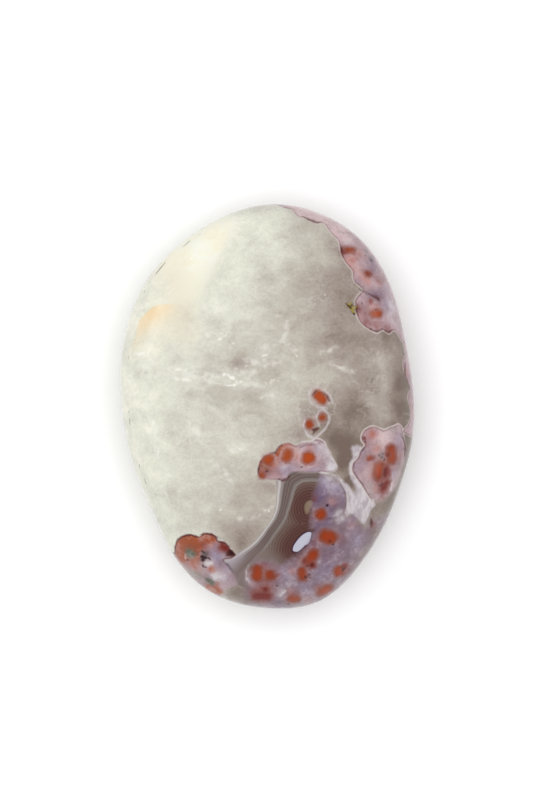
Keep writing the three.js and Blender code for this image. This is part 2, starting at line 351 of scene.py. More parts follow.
# Milky white lines and loose flecks
WHITE_STROKES = [
    [(320, 472, 0.2), (327, 472.2, 0.5), (333, 474, 0.6), (338, 478, 0.6), (342.6, 483.6, 0.6)],
    [(342.6, 483.6, 0.6), (345.6, 490, 0.6), (347, 498, 0.6), (346.4, 506, 0.7), (344.6, 512, 0.5)],
    [(369.4, 499, 0.5), (372.4, 498.6, 0.5), (373, 502, 0.5), (369.6, 502.6, 0.5)],
    [(311, 388.6, 0.3), (307.6, 396, 0.5), (310.4, 403, 0.5)],
    [(310.4, 403, 0.5), (317, 407.4, 0.6), (327, 408, 0.4)],
    [(324, 390.4, 0.4), (329.6, 396, 0.6), (332, 403, 0.4)],
    [(317, 410, 0.3), (323, 409.6, 0.6), (328, 414, 0.6)],
    [(328, 414, 0.6), (328.8, 420, 0.6), (325.4, 427, 0.7), (320, 432.6, 0.8), (315, 437, 0.7)],
    [(304.6, 418.6, 0.4), (302.8, 424.6, 0.5), (304.6, 430.6, 0.6), (308, 435.4, 1.0), (312, 437.2, 0.9)],
    [(318.4, 411, 0.4), (315.8, 416, 0.6), (317, 421.4, 0.6), (318.6, 426, 0.4)],
    [(280, 594.4, 0.7), (283.4, 591.4, 0.6), (285.4, 588.6, 0.4)],
    [(249, 563, 0.2), (246.4, 570, 0.4), (246.4, 576.6, 0.7), (249.4, 580.6, 0.4)],
    [(391.4, 482, 0.6), (390, 490, 0.6)], [(185.6, 554, 0.6), (186, 557.6, 0.6)],
    [(206.6, 562.4, 1.6), (212, 561.4, 1.5)], [(205.4, 560.6, 0.8), (209, 564, 0.9)],
    [(300, 442.4, 0.5), (309, 441.4, 0.6), (317, 441.8, 0.5)], [(307, 465.6, 0.4), (311, 466.4, 0.4)],
    [(322, 443, 0.6), (326.5, 449.6, 0.7), (330, 458, 0.7), (334.4, 464, 0.9), (333, 468.6, 0.6)],
    [(176, 534.6, 0.4), (182, 531.4, 0.5), (190, 529.6, 0.4)],
    [(203, 528.8, 0.4), (212, 529.4, 0.5), (219, 534, 0.4)], [(222, 538.4, 0.8), (225, 540, 0.5)],
    [(212, 574, 0.5), (216, 576.4, 0.4)],
]
# The strokes over the agate, by the names of their fields
AGATE_STROKES = {
    "speck": SPECKS,
    "rust": RUST_STROKES,
    "violet_line": VIOLET_LINES,
    "moss": MOSS_STROKES,
    "white": WHITE_STROKES,
}

# Bright flakes in the quartz
FLAKES = [
    [(134, 353.5, 0.5), (140, 354.5, 1.3), (149, 352.5, 0.5)], [(176, 370.2, 0.4), (186, 370.5, 0.9)],
    [(178, 379.6, 0.5), (190, 380, 0.6)],
    [(224, 374, 0.5), (229, 376, 1.1), (236, 380, 1.1), (240, 382, 0.4)],
    [(226.5, 385.4, 0.6), (234, 385, 1.1), (242, 381.5, 0.6)], [(225.4, 376, 0.4), (225, 383, 0.4)],
    [(230, 379, 1.4), (234, 378, 0.6)], [(245, 367.5, 0.3), (248, 366.6, 0.8), (252, 366, 0.3)],
    [(261, 356.6, 0.3), (264, 356, 0.7), (268, 354.5, 0.4)], [(234, 345, 0.9)],
    [(212, 339, 0.3), (216, 340.6, 0.6), (221, 339.8, 0.4)], [(227.4, 282.6, 0.9)],
    [(295, 353.6, 0.4), (296.5, 356.5, 0.8)], [(268, 226, 0.9)], [(324.6, 296.2, 0.6)], [(221, 508, 0.7)],
    [(269.8, 510, 0.6)], [(258, 517, 0.6)], [(152, 463, 0.7)], [(318, 285, 0.5)],
    [(154.6, 418, 0.5), (155.5, 424, 1.2)], [(159.4, 447, 0.5), (160, 452, 0.8)], [(168.6, 289, 0.7)],
    [(180, 489, 0.6)], [(163.4, 485, 0.6)], [(240, 448, 0.7)], [(236, 512, 0.5)],
]
# Faint veils in the quartz
VEILS = [
    [(152, 362.5, 0.6), (163, 366, 1.0), (174, 370, 1.2), (186, 371, 1.4)],
    [(150, 375, 0.8), (160, 378, 1.2), (190, 380, 1.2)],
    [(178, 372, 0.6), (198, 376, 1.0), (222, 378, 0.8)],
    [(188, 378, 0.5), (206, 381, 0.6), (222, 384, 0.6)],
    [(196, 373, 0.4), (212, 376, 0.9), (226, 380, 0.5)],
    [(216, 366, 0.3), (232, 371, 0.8), (248, 378, 0.5)],
    [(142, 366, 0.5), (156, 372, 1.2), (172, 376, 1.0)],
    [(252, 372, 0.4), (266, 366, 0.9), (280, 362, 0.4)],
    [(244, 360, 0.5), (254, 363, 1.0), (264, 359, 0.6)],
    [(205, 333, 0.6), (214, 340.5, 1.2), (229, 335, 0.8)],
    [(206, 309, 0.6), (216, 313, 1.0), (226, 309, 0.5)],
    [(258, 352, 0.5), (268, 346, 1.0), (282, 341, 1.0), (294, 350, 1.4)],
    [(277, 317, 0.3), (285, 323, 0.6), (287, 331, 0.7), (284, 338, 0.6)],
    [(234, 222, 0.4), (230, 238, 0.7), (226, 249, 0.7)],
    [(244, 384, 0.6), (262, 385, 1.0), (276, 381, 0.5)],
    [(236, 371, 0.6), (246, 376, 1.2), (256, 371, 0.8)], [(262, 398, 0.5), (276, 395, 0.7)],
    [(318, 354, 0.3), (330, 350, 0.5), (345, 345, 0.3)],
    [(330, 364, 0.4), (340, 368, 0.6), (352, 372, 0.3)],
    [(150, 412, 0.8), (155, 424, 2.0), (158, 440, 1.6), (160, 456, 1.2)],
    [(160, 472, 0.6), (164, 486, 1.2), (168, 496, 0.6)], [(232, 450, 0.8), (244, 447, 0.9)],
    [(240, 517, 0.5), (258, 513, 0.7), (271, 506, 0.5)], [(184, 278, 0.6), (192, 288, 0.9)],
    [(186, 420, 0.5), (198, 430, 0.8), (204, 444, 0.4)],
    [(214, 462, 0.4), (226, 470, 0.8), (232, 482, 0.4)],
]

# The cream-coloured zone of the quartz ends along this line, and a stain lies below the other one
CREAM_EDGE = [
    (238, 208), (232, 232), (226, 250), (217, 268), (208, 286), (204, 300), (206, 320), (204, 340),
    (190, 360), (166, 368), (130, 374),
]
CREAM_CLOUDS = [
    (196, 260, 30, 1.0), (218, 234, 22, 0.9), (168, 264, 20, 0.4), (182, 300, 20, 0.5),
    (160, 330, 22, 0.35), (188, 334, 18, 0.4),
]
# Where that zone is warmer, like thin beige
BEIGE_CLOUDS = [(168, 284, 18, 0.7), (184, 325, 26, 1.0), (152, 340, 18, 0.6)]
STAIN_EDGE = [
    (184, 304.5), (172, 304), (160, 305), (153, 307.5), (145, 314), (139.5, 320), (137, 330), (134, 340),
    (128, 352),
]
STAIN_CLOUDS = [(153, 313, 13, 0.9), (168, 309, 10, 0.5), (141, 326, 11, 0.6), (134, 342, 10, 0.3)]

# The quartz gets darker from the left to the right, partly smokier and partly painted shade of the light
# from the upper left: its value at one pixel, and the rise with each
SMOKE_AND_SHADE_START_X = 150
SMOKE_AND_SHADE_START = 0.27
SMOKE_AND_SHADE_RISE = 0.0026
# Clouds in the quartz, each x, y, radius and how much smokier or clearer it gets. Most are its own smoky
# colour; those marked below are painted light and shade.
SMOKE_AND_LIGHT_CLOUDS = [
    (205, 262, 50, -0.2), (150, 300, 40, -0.05), (252, 508, 28, 0.18), (155, 400, 40, -0.05),
    (180, 500, 26, 0.04), (342, 462, 10, 0.3), (350, 482, 6, 0.4), (344, 446, 12, 0.17),
    # (400, 384) and (401, 408) paint the dark gap beside the right soft box's reflection
    (331, 442, 10, 0.18), (400, 384, 8, 0.12), (401, 408, 8, 0.12), (354, 408, 14, 0.12),
    (324, 420, 18, 0.13), (200, 390, 24, 0.05), (200, 465, 26, 0.06), (150, 485, 22, -0.06),
    (240, 545, 13, 0.32), (252, 532, 14, 0.15), (228, 528, 14, 0.14), (273, 488, 6, 0.08),
    (271, 506, 5, 0.1), (232, 226, 16, -0.12), (238, 360, 9, 0.12), (221, 386, 6, 0.1),
    (248, 397, 8, 0.12), (228, 392, 7, 0.08), (258, 400, 8, 0.08), (213, 354, 9, 0.08),
    (272, 370, 10, 0.07), (335, 290, 22, 0.10), (322, 335, 22, 0.03), (270, 240, 44, -0.2),
    (262, 222, 26, -0.16), (234, 222, 16, -0.1), (292, 350, 12, -0.07), (262, 352, 10, -0.05),
    (330, 372, 14, -0.08), (290, 384, 18, -0.12), (226, 378, 9, -0.1), (284, 412, 16, -0.03),
    (240, 446, 12, -0.05), (262, 430, 14, -0.04), (300, 436, 7, 0.16), (262, 485, 9, 0.08),
    (241, 484, 9, 0.07), (236, 500, 9, 0.08), (290, 438, 10, 0.05), (270, 485, 6, 0.08),
    (388, 500, 14, 0.06), (150, 355, 12, -0.07), (163, 448, 12, -0.06), (155, 425, 10, -0.05),
    (226, 318, 18, -0.1), (245, 290, 20, -0.1), (307, 412, 7, 0.05), (236, 592, 20, 0.4),
    (188, 262, 12, -0.03), (214, 388, 26, 0.05), (236, 362, 16, 0.1), (180, 400, 26, 0.02),
    (160, 330, 16, -0.05), (176, 450, 24, -0.04), (208, 500, 20, 0.03), (478, 480, 60, 0.1),
    # (118, 400) is painted shade on the left rim; (384, 384) and the three after it paint the right soft
    # box's reflection band
    (300, 660, 60, 0.1), (450, 250, 50, 0.06), (118, 400, 10, 0.1), (384, 384, 9, -0.1),
    (378, 362, 15, -0.18), (382, 412, 14, -0.16), (366, 396, 16, -0.06), (345, 345, 16, 0.03),
    (382, 334, 8, 0.06), (152, 506, 14, -0.08), (336, 330, 14, 0.04),
]

# The bands grow in from a wall. The pale outer line follows it, and a second pale line runs inside.
BAND_WALL = [
    (206, 572), (214, 565), (222, 559.4), (231, 555), (239, 550.6), (247.5, 545), (255, 538.5),
    (261.5, 531.5), (267, 524), (272, 515.4), (275, 507), (276.2, 498), (276.6, 488), (277, 478),
    (282, 468), (296, 462), (330, 462),
]
INNER_LINE = [
    (236, 586), (241, 574), (249, 564), (257, 555), (264, 547), (270, 539.5), (275.4, 531), (281, 523),
    (285.6, 515), (288.6, 507), (290.6, 499), (292.6, 491), (295.4, 484), (301, 480), (312, 479),
    (330, 480),
]
BAND_AREA = BAND_WALL[:13] + [
    (277, 476), (300, 468), (322, 468), (330, 520), (320, 560), (280, 590), (254, 594), (244, 586),
    (234, 583), (222, 582),
]
# The two hearts that the inner bands close in on
TAN_HEART = [
    (304, 506), (305, 502), (308, 499.6), (311.4, 500), (310.6, 504), (308.6, 508), (307, 512.4),
    (305.2, 511),
]
WHITE_HEART = [
    (293, 549), (292.6, 545.5), (294.4, 541.5), (297.6, 537.6), (301.4, 533.6), (305.4, 530.8),
    (309, 530.2), (311, 531.4), (310.6, 535.6), (309.8, 539.4), (308, 542.2), (305.4, 543), (303, 545.2),
    (300, 548), (297, 550),
]
# The inner bands' lines, in pixels: how far apart they are, and how far out their colour changes
LINE_SPACING = 2.7
BAND_REACH = 30
# How many fine lines lie between the wall and the inner pale line
OUTER_LINES = 5.5
# Faint rings just inside a patch's edge, in pixels
RING_SPACING = 2.4

# Pale lilac clouds where the bands fade out
BAND_FADES = [
    (230, 563, 12, 0.8), (242, 556, 9, 0.4), (240, 576, 10, 0.5), (262, 556, 10, 0.6), (276, 560, 9, 0.4),
]

# How bright the eyes are: most in the upper patches
EYE_LIGHT = [
    (308, 457, 10, 1.0), (319, 397, 12, 1.0), (286, 455, 10, 0.9), (309, 424, 8, 0.6), (322, 417, 6, 0.6),
    (375, 314, 8, 0.8), (350, 251, 6, 0.5), (369, 457, 4, 1.0), (378, 468, 7, 0.5), (185, 545, 16, 0.9),
    (262, 474, 5, 0.5), (268, 458, 8, 0.8), (214, 588, 8, 0.5), (389, 455, 9, 0.5), (327, 535, 9, 0.4),
    (311, 556, 8, 0.35), (320, 513, 6, 0.4), (260, 572, 10, 0.4), (339, 570, 7, 0.4), (302, 572, 6, 0.3),
    (325, 590, 8, 0.5), (294, 598, 6, 0.5),
]

# How much height counts in a mark's distance, against 1 for the plan
HEIGHT_SHARE = 0.55
# Farther than any mark reaches, in millimetres
FAR = 99.0

# A small open pit in the face at the bottom left. Its slope starts a little outside its radius.
PIT_X = 205
PIT_Y = 555.5
PIT_RADIUS = 5
PIT_SLOPE_START = 1.4
PIT_DEPTH = 0.45


def outline_radius(direction):
    """Radius of the outline towards each direction: a uniform cubic B-spline round the radii."""
    radii = np.array(OUTLINE_RADII)
    count = len(radii)
    place = np.mod(direction, 2 * math.pi) / (2 * math.pi) * count
    index = np.floor(place).astype(int)
    past = place - index
    weights = [
        (1 - past) ** 3,
        3 * past**3 - 6 * past**2 + 4,
        -3 * past**3 + 3 * past**2 + 3 * past + 1,
        past**3,
    ]
    return sum(weight / 6 * radii[(index - 1 + step) % count] for step, weight in enumerate(weights))


def rim_wander(direction):
    """How far the stone's widest height lies above or below its mean one, in millimetres."""
    return RIM_WANDER * (0.7 * np.sin(2 * direction + 0.6) + 0.3 * np.sin(3 * direction - 1.1))


def stone_points(direction, polar):
    """Points of the surface, in millimetres. Polar is 0 at the crown, a right angle at the rim."""
    up = np.cos(polar)
    reach = np.sin(polar) ** (2 / PLAN_FULLNESS)
    rise = np.abs(up) ** (2 / HEIGHT_FULLNESS)
    crown_height = THICKNESS - RIM_HEIGHT
    belly_depth = RIM_HEIGHT / BASE_DROP
    height = np.where(up > 0, crown_height * rise, -belly_depth * np.minimum(rise, BASE_DROP))
    towards_rim = np.maximum(0, (reach - BASE_REACH) / (1 - BASE_REACH)) ** 2
    radius = outline_radius(direction) * reach
    return np.stack([
        radius * np.cos(direction),
        radius * np.sin(direction),
        RIM_HEIGHT + height + rim_wander(direction) * towards_rim,
    ], axis=-1)


def rim_middle():
    """Middle of the outline's box, in millimetres: the stone is moved so that this is the origin."""
    direction = np.linspace(0, 2 * math.pi, RIM_STEPS)
    rim = stone_points(direction, np.full_like(direction, math.pi / 2))
    return (rim.min(axis=0)[:2] + rim.max(axis=0)[:2]) / 2


OUTLINE_MIDDLE = rim_middle()


# The flat map on which the markings are drawn: each point of the surface keeps its direction and
# lies as far out as the way along the surface from the crown

MAP_POLAR = np.linspace(0, math.pi, MAP_STEPS)


def map_lengths():
    """The way along the surface to each polar angle, as a share of the outline's radius."""
    any_direction = 0.6
    direction = np.full_like(MAP_POLAR, any_direction)
    steps = np.linalg.norm(np.diff(stone_points(direction, MAP_POLAR), axis=0), axis=1)
    return np.concatenate([[0], np.cumsum(steps)]) / outline_radius(any_direction)


MAP_LENGTHS = map_lengths()


def on_map(direction, length):
    """Places on the flat map, in millimetres."""
    return np.stack([length * np.cos(direction), length * np.sin(direction)], axis=-1)


def pixel_ray(x, y):
    """Direction of a pixel and its surface distance from the crown, in millimetres."""
    across = (np.asarray(x, float) - MIDDLE_X) / PIXELS_PER_MM + OUTLINE_MIDDLE[0]
    along = (MIDDLE_Y - np.asarray(y, float)) / PIXELS_PER_MM + OUTLINE_MIDDLE[1]
    direction = np.arctan2(along, across)
    radius = outline_radius(direction)
    distance = np.hypot(across, along)
    polar = np.arcsin(np.minimum(distance / radius, 1) ** (PLAN_FULLNESS / 2))
    length = np.interp(polar, MAP_POLAR, MAP_LENGTHS) * radius + np.maximum(distance - radius, 0)
    return direction, length


def pixel_on_map(x, y):
    """The place on the flat map at a pixel."""
    return on_map(*pixel_ray(x, y))


def pixel_on_stone(x, y):
    """The point of the surface, in millimetres, at a pixel, which may lie outside the outline."""
    direction, length = pixel_ray(x, y)
    polar = np.interp(length / outline_radius(direction), MAP_LENGTHS, MAP_POLAR)
    point = stone_points(direction, polar)
    point[:2] -= OUTLINE_MIDDLE
    return point


def add_object(name, data):
    """A new object in the scene."""
    added = bpy.data.objects.new(name, data)
    bpy.context.scene.collection.objects.link(added)
    return added


# The fine mesh

def even_polar_angles(share):
    """Polar angles at even steps along the surface from crown to rim, for shares from 0 to 1."""
    rim = np.interp(math.pi / 2, MAP_POLAR, MAP_LENGTHS)
    return np.interp(share * rim, MAP_LENGTHS, MAP_POLAR)


def sheet_grid():
    """Direction and share of the way to the rim for each corner of one sheet's grid."""
    right, up = np.meshgrid(np.linspace(-1, 1, CELLS_ACROSS + 1), np.linspace(-1, 1, CELLS_ALONG + 1))
    right = right + GATHER_RIGHT * (1 - right**2)
    up = up - GATHER_DOWN * (1 - up**2)
    across = right * np.sqrt(1 - up**2 / 2)
    along = up * np.sqrt(1 - right**2 / 2)
    return np.arctan2(along, across), np.minimum(np.hypot(across, along), 1)


def grid_quads(corners):
    """The four corners of each cell of a grid of corner numbers."""
    a, b, c, d = corners[:-1, :-1], corners[:-1, 1:], corners[1:, 1:], corners[1:, :-1]
    return np.stack([a, b, c, d], axis=-1).reshape(-1, 4)


def sheet_corners():
    """Numbers of the grid's corners for the face and for the underside, which share the rim's."""
    face = np.arange((CELLS_ACROSS + 1) * (CELLS_ALONG + 1)).reshape(CELLS_ALONG + 1, CELLS_ACROSS + 1)
    under = face.copy()
    inner = under[1:-1, 1:-1]
    under[1:-1, 1:-1] = face.size + np.arange(inner.size).reshape(inner.shape)
    return face, under


def make_surface():
    """Points of the two sheets, in millimetres, and their places on the flat map."""
    direction, share = sheet_grid()
    polar = even_polar_angles(share)
    direction = np.concatenate([direction.ravel(), direction[1:-1, 1:-1].ravel()])
    polar = np.concatenate([polar.ravel(), math.pi - polar[1:-1, 1:-1].ravel()])
    points = stone_points(direction, polar)
    points[:, :2] -= OUTLINE_MIDDLE
    places = on_map(direction, np.interp(polar, MAP_POLAR, MAP_LENGTHS) * outline_radius(direction))
    return points, places


def make_stone(points):
    """The stone's mesh, with its pit and its bake map, as an object in the scene."""
    face, under = sheet_corners()
    quads = np.concatenate([grid_quads(face), grid_quads(under)[:, ::-1]])
    mesh = bpy.data.meshes.new("agate_stone")
    mesh.from_pydata((with_pit(points) * MM).tolist(), [], quads.tolist())
    mesh.shade_smooth()
    add_bake_map(mesh)
    return add_object("agate_stone", mesh)


def with_pit(points):
    """The points, with those over the small pit pushed down to its rough floor."""
    pit = pixel_on_stone(PIT_X, PIT_Y)
    away = np.linalg.norm(wobble(points, 0.6, 0.25, 11) - pit, axis=1) * PIXELS_PER_MM / PIT_RADIUS
    pushed = points.copy()
    pushed[:, 2] -= PIT_DEPTH * np.clip(PIT_SLOPE_START - away, 0, 1) ** 2
    return pushed


def add_bake_map(mesh):
    """A UV map with the face's grid on the left half and the underside's on the right."""
    margin = 0.01
    rows = np.linspace(margin, 1 - margin, CELLS_ALONG + 1)
    columns = np.linspace(margin, 0.5 - margin, CELLS_ACROSS + 1)
    left = np.stack(np.meshgrid(columns, rows), axis=-1).reshape(-1, 2)
    corners = np.arange(len(left)).reshape(rows.size, columns.size)
    face_loops = grid_quads(corners).reshape(-1)
    under_loops = grid_quads(corners)[:, ::-1].reshape(-1)
    loops = np.concatenate([left[face_loops], left[under_loops] + np.array([0.5, 0])])
    layer = mesh.uv_layers.new(name="OFBake")
    layer.data.foreach_set("uv", loops.astype(np.float32).ravel())


# Measures of the markings, worked out at each point of the mesh in millimetres

def noise_push(points, size, seed):
    """Smooth noise in three directions, from about -1 to 1, with features of one size."""
    shift = Vector((17.3 * seed, -9.1 * seed, 5.7 * seed))
    return np.array([noise.noise_vector(Vector(point) / size + shift) for point in points.tolist()])


def wobble(points, size, amount, seed):
    """The points pushed about by noise of that size, as far as that amount."""
    return points + amount * noise_push(points, size, seed)


def segment_distance(places, start, end):
    """Distance of each place from a straight line between two places, and the share along it."""
    line = end - start
    share = np.clip((places - start) @ line / max(line @ line, 1e-9), 0, 1)
    return np.linalg.norm(places - start - share[:, None] * line, axis=1), share


def smooth_loop(corners, steps=3):
    """More points along the smooth closed curve through the corners."""
    here = np.array(corners)
    before, after, beyond = (np.roll(here, shift, axis=0) for shift in (1, -1, -2))
    curve = [
        here + ((after - before) * share + (2 * before - 5 * here + 4 * after - beyond) * share**2
                + (3 * here - before - 3 * after + beyond) * share**3) / 2
        for share in np.arange(steps) / steps
    ]
    return np.stack(curve, axis=1).reshape(-1, 2)


def area_depth(places, outline):
    """How far inside a smooth closed outline of pixels each place lies, below 0 outside it."""
    corners = smooth_loop([pixel_on_map(*pixel) for pixel in outline])
    nearest = np.full(len(places), FAR)
    inside = np.zeros(len(places), bool)
    x, y = places.T
    for start, end in zip(corners, np.roll(corners, -1, axis=0)):
        distance, _ = segment_distance(places, start, end)
        nearest = np.minimum(nearest, distance)
        straddles = (start[1] > y) != (end[1] > y)
        rise = end[1] - start[1]
        crossing = start[0] + (y - start[1]) * (end[0] - start[0]) / (rise if rise else 1)
        inside ^= straddles & (x < crossing)
    return np.where(inside, nearest, -nearest)


def line_distance(places, path):
    """Distance from a line drawn through pixels, above 0 on its right and below 0 on its left."""
    corners = [pixel_on_map(*pixel) for pixel in path]
    best = np.full(len(places), FAR)
    side = np.ones(len(places))
    for start, end in zip(corners, corners[1:]):
        distance, _ = segment_distance(places, start, end)
        line = end - start
        across = (places[:, 0] - start[0]) * line[1] - (places[:, 1] - start[1]) * line[0]
        nearer = distance < best - 1e-6
        best = np.where(nearer, distance, best)
        side = np.where(nearer, np.sign(across), side)
    return best * side


def smooth_max(first, second, blend):
    """The larger of two values, rounded over where they differ by less than the blend."""
    overlap = np.maximum(blend - np.abs(first - second), 0) / blend
    return np.maximum(first, second) + overlap**2 * blend / 4


def lobe_depth(points, lobes, blend=0.4):
    """How deep each point lies in a cluster of round lobes, below 0 outside it."""
    depth = np.full(len(points), -FAR)
    for x, y, radius in lobes:
        inside = radius * PIXEL - np.linalg.norm(points - pixel_on_stone(x, y), axis=1)
        depth = smooth_max(depth, inside, blend)
    return depth


def flattened(points):
    """The points with their height made to count less, so that marks keep their shape from above."""
    return points * np.array([1, 1, HEIGHT_SHARE])


def stroke_depth(points, strokes, blend=0.1):
    """How deep each point lies in a set of strokes with round ends, below 0 outside them."""
    flat = flattened(points)
    depth = np.full(len(points), -FAR)
    for stroke in strokes:
        for (x0, y0, w0), (x1, y1, w1) in zip(stroke, stroke[1:] or stroke):
            start, end = flattened(pixel_on_stone(x0, y0)), flattened(pixel_on_stone(x1, y1))
            distance, share = segment_distance(flat, start, end)
            depth = smooth_max(depth, (w0 + (w1 - w0) * share) * PIXEL - distance, blend)
    return depth


def cloud_sum(points, clouds):
    """The sum of soft round clouds at each point, each full in its middle and faint past its radius."""
    flat = flattened(points)
    total = np.zeros(len(points))
    for x, y, radius, amount in clouds:
        away = np.linalg.norm(flat - flattened(pixel_on_stone(x, y)), axis=1)
        total += amount * np.exp(-(away / (radius * PIXEL)) ** 2)
    return total


def add_field(mesh, name, values):
    """A value at each point of the mesh, which the material reads by its name."""
    attribute = mesh.attributes.new(name, "FLOAT", "POINT")
    attribute.data.foreach_set("value", np.asarray(values, np.float32))


def add_patch_fields(mesh, points, places):
    """Depth in the patches and the lilac mass, the edge lines' strength, and the soft tints."""
    ragged = wobble(wobble(points, 2.2, 0.12, 1), 0.7, 0.07, 2)
    drawn = places + (ragged - points)[:, :2]
    depth = lobe_depth(ragged, UNDER_LOBES)
    lines = np.tile(UNDER_LINES, (len(points), 1))
    for patch in PATCHES:
        inside = area_depth(drawn, patch.outline)
        lines[inside > depth] = patch[1:]
        depth = np.maximum(depth, inside)
    add_field(mesh, "patch", depth)
    bent = places + 0.45 * noise_push(points, 2.0, 3)[:, :2]
    add_field(mesh, "lilac_mass", area_depth(bent, LILAC_MASS))
    edge_change = cloud_sum(points, LINE_CLOUDS)
    add_field(mesh, "pale_line", lines[:, 0] + edge_change)
    add_field(mesh, "dark_line", lines[:, 1] + np.minimum(edge_change, 0))
    add_field(mesh, "soft_edge", np.clip(-edge_change, 0, 1))
    drifting = wobble(points, 2.2, 0.25, 4)
    for tint in TINTS:
        add_field(mesh, tint.name, cloud_sum(drifting, tint.clouds))


def add_band_fields(mesh, points, places):
    """How far in from the wall each point is, 1 at the inner pale line, and its hearts' distances."""
    bent = places + 0.12 * noise_push(points, 2.5, 5)[:, :2]
    wall = line_distance(bent, BAND_WALL)
    inner = line_distance(bent, INNER_LINE)
    between = np.abs(wall) / (np.abs(wall) + np.abs(inner) + 1e-6)
    tan = area_depth(bent, TAN_HEART)
    white = area_depth(bent, WHITE_HEART)
    add_field(mesh, "band", np.where(inner > 0, 1 + inner, np.where(wall > 0, between, wall)))
    add_field(mesh, "band_area", area_depth(bent, BAND_AREA))
    add_field(mesh, "tan_heart", tan)
    add_field(mesh, "white_heart", white)
    add_field(mesh, "heart", -smooth_max(tan, white, 0.6))
    add_field(mesh, "band_fade", cloud_sum(points, BAND_FADES))


def add_quartz_fields(mesh, points, places):
    """How smoky the quartz is, with painted light and shade in the same field, how creamy it is, and the
    depth in its stain, veils, flakes and dashes.
    """
    x = points[:, 0] * PIXELS_PER_MM + MIDDLE_X
    across = SMOKE_AND_SHADE_START + SMOKE_AND_SHADE_RISE * (x - SMOKE_AND_SHADE_START_X)
    drifting = wobble(wobble(points, 8, 0.6, 6), 2.5, 0.4, 7)
    drawn = wobble(points, 3.0, 0.3, 8)
    add_field(mesh, "smoke_and_light", across + cloud_sum(drifting, SMOKE_AND_LIGHT_CLOUDS))
    add_field(mesh, "cream", line_distance(places + (drawn - points)[:, :2], CREAM_EDGE))
    add_field(mesh, "creaminess", cloud_sum(drifting, CREAM_CLOUDS))
    add_field(mesh, "beige", cloud_sum(drifting, BEIGE_CLOUDS))
    add_field(mesh, "stain", line_distance(places + (drawn - points)[:, :2], STAIN_EDGE))
    add_field(mesh, "staining", cloud_sum(points, STAIN_CLOUDS))
    frayed = wobble(points, 0.9, 0.12, 9)
    add_field(mesh, "flake", stroke_depth(frayed, FLAKES))
    add_field(mesh, "veil", stroke_depth(drawn, VEILS))
    add_field(mesh, "dash", stroke_depth(frayed, DASHES))


def add_stroke_fields(mesh, points, places):
    """The depth in the eyes, the strokes drawn over the agate, and the milky areas."""
    frayed = wobble(points, 0.8, 0.08, 10)
    lobed = wobble(points, 1.3, 0.16, 12)
    add_field(mesh, "orange_eye", stroke_depth(lobed, ORANGE_EYES, 0.5))
    add_field(mesh, "red_eye", stroke_depth(lobed, RED_EYES, 0.5))
    add_field(mesh, "eye_light", cloud_sum(points, EYE_LIGHT))
    for name, strokes in AGATE_STROKES.items():
        add_field(mesh, name, stroke_depth(frayed, strokes))
    drawn = places + (frayed - points)[:, :2]
    add_field(mesh, "milky", np.max([area_depth(drawn, area) for area in MILKY_AREAS], axis=0))


# Short ways to build a material's nodes

# The darkest and palest surface colours used, from 0 to 1
DARKEST = 0.004
PALEST = 0.95


def seen(red, green, blue):
    """The surface colour that shows as this screen colour, 0 to 255, in the studio's light."""
    def to_linear(value):
        part = value / 255
        return part / 12.92 if part <= 0.04045 else ((part + 0.055) / 1.055) ** 2.4
    surface = [(to_linear(value) - FACE_GLOSS) / FACE_LIGHT for value in (red, green, blue)]
    return (*(min(max(value, DARKEST), PALEST) for value in surface), 1)


